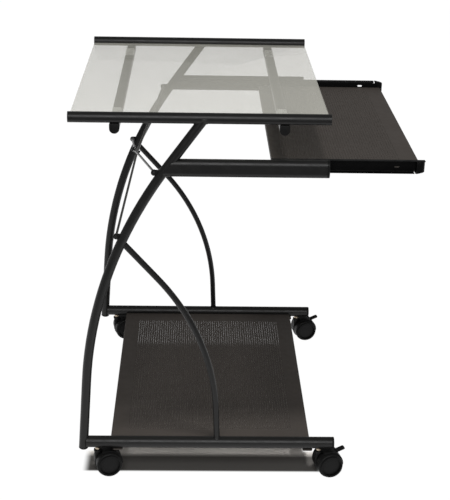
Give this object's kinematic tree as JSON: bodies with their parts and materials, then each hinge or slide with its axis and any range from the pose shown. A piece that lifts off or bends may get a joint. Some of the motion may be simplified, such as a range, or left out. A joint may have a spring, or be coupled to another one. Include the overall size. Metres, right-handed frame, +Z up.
{
  "type": "computer desk with keyboard tray",
  "caption": "Rolling computer desk: bent-tube side frames on casters, a smoked glass top, a perforated lower shelf and a keyboard tray on ball slides.",
  "frame": {"origin": "on the floor, in the middle of the desk's outline with the keyboard tray pulled out as it stands at rest", "axes": "+Z up; the user stands on the -Y side and the tray slides out along -Y; +X is the user's right"},
  "size_m": [0.736, 0.702, 0.802],
  "materials": {
    "rod_steel": "dark plated steel",
    "frame_paint": "satin black powder coat",
    "glass": "lightly smoked, polished edges",
    "shelf_paint": "satin dark grey-brown powder coat on perforated sheet",
    "slide_steel": "satin black coating",
    "black_plastic": "fine satin moulding",
    "stem_steel": "yellow-passivated steel",
    "clear_pad": "soft translucent vinyl"
  },
  "bodies": {
    "frame": {"cross_bolt": "rod_steel", "cross_rod_a": "rod_steel", "cross_rod_b": "rod_steel", "front_crossbar": "frame_paint", "glass_top": "glass", "left_base_cap": "black_plastic", "left_base_tube": "frame_paint", "left_brace": "frame_paint", "left_fixed_member": "slide_steel", "left_front_caster_stem": "stem_steel", "left_front_crossbar_cap": "black_plastic", "left_front_glass_pad": "clear_pad", "left_leg": "frame_paint", "left_leg_foot": "black_plastic", "left_rear_caster_stem": "stem_steel", "left_rear_crossbar_cap": "black_plastic", "left_rear_glass_pad": "clear_pad", "left_slide_tube": "frame_paint", "left_slide_tube_cap": "black_plastic", "left_top_rail": "frame_paint", "lower_shelf": "shelf_paint", "rear_crossbar": "frame_paint", "right_base_cap": "black_plastic", "right_base_tube": "frame_paint", "right_brace": "frame_paint", "right_fixed_member": "slide_steel", "right_front_caster_stem": "stem_steel", "right_front_crossbar_cap": "black_plastic", "right_front_glass_pad": "clear_pad", "right_leg": "frame_paint", "right_leg_foot": "black_plastic", "right_rear_caster_stem": "stem_steel", "right_rear_crossbar_cap": "black_plastic", "right_rear_glass_pad": "clear_pad", "right_slide_tube": "frame_paint", "right_slide_tube_cap": "black_plastic", "right_top_rail": "frame_paint"},
    "tray": {"keyboard_tray": "shelf_paint", "left_tray_member": "slide_steel", "right_tray_member": "slide_steel"},
    "left_ball_cage": {"left_ball_cage": "slide_steel"},
    "right_ball_cage": {"right_ball_cage": "slide_steel"},
    "left_front_caster": {"left_front_caster_housing": "black_plastic", "left_front_caster_axle": "stem_steel"},
    "left_front_caster_near_wheel": {"left_front_caster_near_wheel": "black_plastic"},
    "left_front_caster_far_wheel": {"left_front_caster_far_wheel": "black_plastic"},
    "left_front_caster_brake_lever": {"left_front_caster_brake_lever": "black_plastic"},
    "right_front_caster": {"right_front_caster_housing": "black_plastic", "right_front_caster_axle": "stem_steel"},
    "right_front_caster_near_wheel": {"right_front_caster_near_wheel": "black_plastic"},
    "right_front_caster_far_wheel": {"right_front_caster_far_wheel": "black_plastic"},
    "right_front_caster_brake_lever": {"right_front_caster_brake_lever": "black_plastic"},
    "left_rear_caster": {"left_rear_caster_housing": "black_plastic", "left_rear_caster_axle": "stem_steel"},
    "left_rear_caster_near_wheel": {"left_rear_caster_near_wheel": "black_plastic"},
    "left_rear_caster_far_wheel": {"left_rear_caster_far_wheel": "black_plastic"},
    "right_rear_caster": {"right_rear_caster_housing": "black_plastic", "right_rear_caster_axle": "stem_steel"},
    "right_rear_caster_near_wheel": {"right_rear_caster_near_wheel": "black_plastic"},
    "right_rear_caster_far_wheel": {"right_rear_caster_far_wheel": "black_plastic"}
  },
  "joints": [
    {"name": "tray_slide", "type": "slide", "parent": "frame", "child": "tray", "axis": [0, -1, 0], "range_m": [-0.178, 0.025]},
    {"name": "left_cage_slide", "type": "slide", "parent": "frame", "child": "left_ball_cage", "axis": [0, -1, 0], "range_m": [-0.089, 0.0125]},
    {"name": "right_cage_slide", "type": "slide", "parent": "frame", "child": "right_ball_cage", "axis": [0, -1, 0], "range_m": [-0.089, 0.0125]},
    {"name": "left_front_caster_swivel", "type": "hinge", "parent": "frame", "child": "left_front_caster", "pos_m": [-0.3375, -0.167, 0.05], "axis": [0, 0, 1], "continuous": true},
    {"name": "left_front_caster_near_wheel_spin", "type": "hinge", "parent": "left_front_caster", "child": "left_front_caster_near_wheel", "pos_m": [-0.33248, -0.18791, 0.0275], "axis": [0.9724, 0.2334, 0], "continuous": true},
    {"name": "left_front_caster_far_wheel_spin", "type": "hinge", "parent": "left_front_caster", "child": "left_front_caster_far_wheel", "pos_m": [-0.33248, -0.18791, 0.0275], "axis": [0.9724, 0.2334, 0], "continuous": true},
    {"name": "left_front_caster_brake", "type": "hinge", "parent": "left_front_caster", "child": "left_front_caster_brake_lever", "pos_m": [-0.32956, -0.20006, 0.044], "axis": [0.9724, 0.2334, 0], "range_deg": [0, 18]},
    {"name": "right_front_caster_swivel", "type": "hinge", "parent": "frame", "child": "right_front_caster", "pos_m": [0.3375, -0.167, 0.05], "axis": [0, 0, 1], "continuous": true},
    {"name": "right_front_caster_near_wheel_spin", "type": "hinge", "parent": "right_front_caster", "child": "right_front_caster_near_wheel", "pos_m": [0.34252, -0.18791, 0.0275], "axis": [0.9724, 0.2334, 0], "continuous": true},
    {"name": "right_front_caster_far_wheel_spin", "type": "hinge", "parent": "right_front_caster", "child": "right_front_caster_far_wheel", "pos_m": [0.34252, -0.18791, 0.0275], "axis": [0.9724, 0.2334, 0], "continuous": true},
    {"name": "right_front_caster_brake", "type": "hinge", "parent": "right_front_caster", "child": "right_front_caster_brake_lever", "pos_m": [0.34544, -0.20006, 0.044], "axis": [0.9724, 0.2334, 0], "range_deg": [0, 18]},
    {"name": "left_rear_caster_swivel", "type": "hinge", "parent": "frame", "child": "left_rear_caster", "pos_m": [-0.3375, 0.307, 0.05], "axis": [0, 0, 1], "continuous": true},
    {"name": "left_rear_caster_near_wheel_spin", "type": "hinge", "parent": "left_rear_caster", "child": "left_rear_caster_near_wheel", "pos_m": [-0.33248, 0.28609, 0.0275], "axis": [0.9724, 0.2334, 0], "continuous": true},
    {"name": "left_rear_caster_far_wheel_spin", "type": "hinge", "parent": "left_rear_caster", "child": "left_rear_caster_far_wheel", "pos_m": [-0.33248, 0.28609, 0.0275], "axis": [0.9724, 0.2334, 0], "continuous": true},
    {"name": "right_rear_caster_swivel", "type": "hinge", "parent": "frame", "child": "right_rear_caster", "pos_m": [0.3375, 0.307, 0.05], "axis": [0, 0, 1], "continuous": true},
    {"name": "right_rear_caster_near_wheel_spin", "type": "hinge", "parent": "right_rear_caster", "child": "right_rear_caster_near_wheel", "pos_m": [0.34252, 0.28609, 0.0275], "axis": [0.9724, 0.2334, 0], "continuous": true},
    {"name": "right_rear_caster_far_wheel_spin", "type": "hinge", "parent": "right_rear_caster", "child": "right_rear_caster_far_wheel", "pos_m": [0.34252, 0.28609, 0.0275], "axis": [0.9724, 0.2334, 0], "continuous": true}
  ],
  "couplings": [
    {"joint": "left_cage_slide", "follows": "tray_slide", "ratio": 0.5},
    {"joint": "right_cage_slide", "follows": "tray_slide", "ratio": 0.5}
  ]
}
